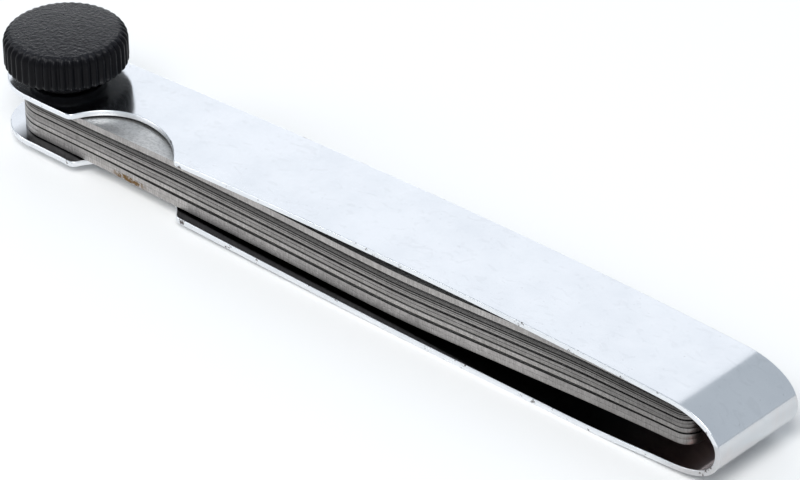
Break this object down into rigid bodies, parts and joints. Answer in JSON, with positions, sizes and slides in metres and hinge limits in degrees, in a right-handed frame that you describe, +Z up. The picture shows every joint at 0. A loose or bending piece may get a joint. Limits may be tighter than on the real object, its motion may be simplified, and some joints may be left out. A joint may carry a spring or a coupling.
{
  "type": "feeler gauge",
  "caption": "Fan of spring-steel thickness leaves turning on a stud in a folded sheet-steel holder, clamped by a knurled plastic knob.",
  "frame": {"origin": "centre of the stud head's underside, on the pivot axis and on the plane that the gauge rests on", "axes": "+X from the pivot to the folded end of the holder, +Z up the pivot axis towards the knob, -Y the side with the thumb notch"},
  "size_m": [0.1274, 0.0168, 0.0164],
  "materials": {
    "holder_zinc": "bright zinc plate, faintly clouded",
    "leaf_steel": "ground along the length",
    "fastener_zinc": "zinc plate",
    "washer_black": "blackened steel",
    "insert_brass": "turned",
    "knob_plastic": "moulded, leather grain on top"
  },
  "bodies": {
    "holder": {"holder": "holder_zinc", "pivot_stud": "fastener_zinc"},
    "washer": {"washer": "washer_black"},
    "knob": {"knob": "knob_plastic", "knob_insert": "insert_brass"},
    "leaf_1_00mm": {"leaf_1_00mm": "leaf_steel"},
    "leaf_0_05mm": {"leaf_0_05mm": "leaf_steel"},
    "leaf_0_10mm": {"leaf_0_10mm": "leaf_steel"},
    "leaf_0_15mm": {"leaf_0_15mm": "leaf_steel"},
    "leaf_0_20mm": {"leaf_0_20mm": "leaf_steel"},
    "leaf_0_25mm": {"leaf_0_25mm": "leaf_steel"},
    "leaf_0_30mm": {"leaf_0_30mm": "leaf_steel"},
    "leaf_0_40mm": {"leaf_0_40mm": "leaf_steel"},
    "leaf_0_50mm": {"leaf_0_50mm": "leaf_steel"},
    "leaf_0_60mm": {"leaf_0_60mm": "leaf_steel"},
    "leaf_0_70mm": {"leaf_0_70mm": "leaf_steel"},
    "leaf_0_80mm": {"leaf_0_80mm": "leaf_steel"},
    "leaf_0_90mm": {"leaf_0_90mm": "leaf_steel"}
  },
  "joints": [
    {"name": "knob_lift", "type": "slide", "parent": "holder", "child": "washer", "axis": [0, 0, 1], "range_m": [0, 0.0028]},
    {"name": "knob_turn", "type": "hinge", "parent": "washer", "child": "knob", "pos_m": [0, 0, 0.0104], "axis": [0, 0, 1], "range_deg": [0, 1440]},
    {"name": "leaf_1_00mm_pivot", "type": "hinge", "parent": "holder", "child": "leaf_1_00mm", "pos_m": [0, 0, 0.005], "axis": [0, 0, 1], "continuous": true},
    {"name": "leaf_0_05mm_pivot", "type": "hinge", "parent": "holder", "child": "leaf_0_05mm", "pos_m": [0, 0, 0.005], "axis": [0, 0, 1], "continuous": true},
    {"name": "leaf_0_10mm_pivot", "type": "hinge", "parent": "holder", "child": "leaf_0_10mm", "pos_m": [0, 0, 0.005], "axis": [0, 0, 1], "continuous": true},
    {"name": "leaf_0_15mm_pivot", "type": "hinge", "parent": "holder", "child": "leaf_0_15mm", "pos_m": [0, 0, 0.005], "axis": [0, 0, 1], "continuous": true},
    {"name": "leaf_0_20mm_pivot", "type": "hinge", "parent": "holder", "child": "leaf_0_20mm", "pos_m": [0, 0, 0.005], "axis": [0, 0, 1], "continuous": true},
    {"name": "leaf_0_25mm_pivot", "type": "hinge", "parent": "holder", "child": "leaf_0_25mm", "pos_m": [0, 0, 0.005], "axis": [0, 0, 1], "continuous": true},
    {"name": "leaf_0_30mm_pivot", "type": "hinge", "parent": "holder", "child": "leaf_0_30mm", "pos_m": [0, 0, 0.005], "axis": [0, 0, 1], "continuous": true},
    {"name": "leaf_0_40mm_pivot", "type": "hinge", "parent": "holder", "child": "leaf_0_40mm", "pos_m": [0, 0, 0.005], "axis": [0, 0, 1], "continuous": true},
    {"name": "leaf_0_50mm_pivot", "type": "hinge", "parent": "holder", "child": "leaf_0_50mm", "pos_m": [0, 0, 0.005], "axis": [0, 0, 1], "continuous": true},
    {"name": "leaf_0_60mm_pivot", "type": "hinge", "parent": "holder", "child": "leaf_0_60mm", "pos_m": [0, 0, 0.005], "axis": [0, 0, 1], "continuous": true},
    {"name": "leaf_0_70mm_pivot", "type": "hinge", "parent": "holder", "child": "leaf_0_70mm", "pos_m": [0, 0, 0.005], "axis": [0, 0, 1], "continuous": true},
    {"name": "leaf_0_80mm_pivot", "type": "hinge", "parent": "holder", "child": "leaf_0_80mm", "pos_m": [0, 0, 0.005], "axis": [0, 0, 1], "continuous": true},
    {"name": "leaf_0_90mm_pivot", "type": "hinge", "parent": "holder", "child": "leaf_0_90mm", "pos_m": [0, 0, 0.005], "axis": [0, 0, 1], "continuous": true}
  ],
  "couplings": [
    {"joint": "knob_turn", "follows": "knob_lift", "rad_per_m": 8976}
  ]
}
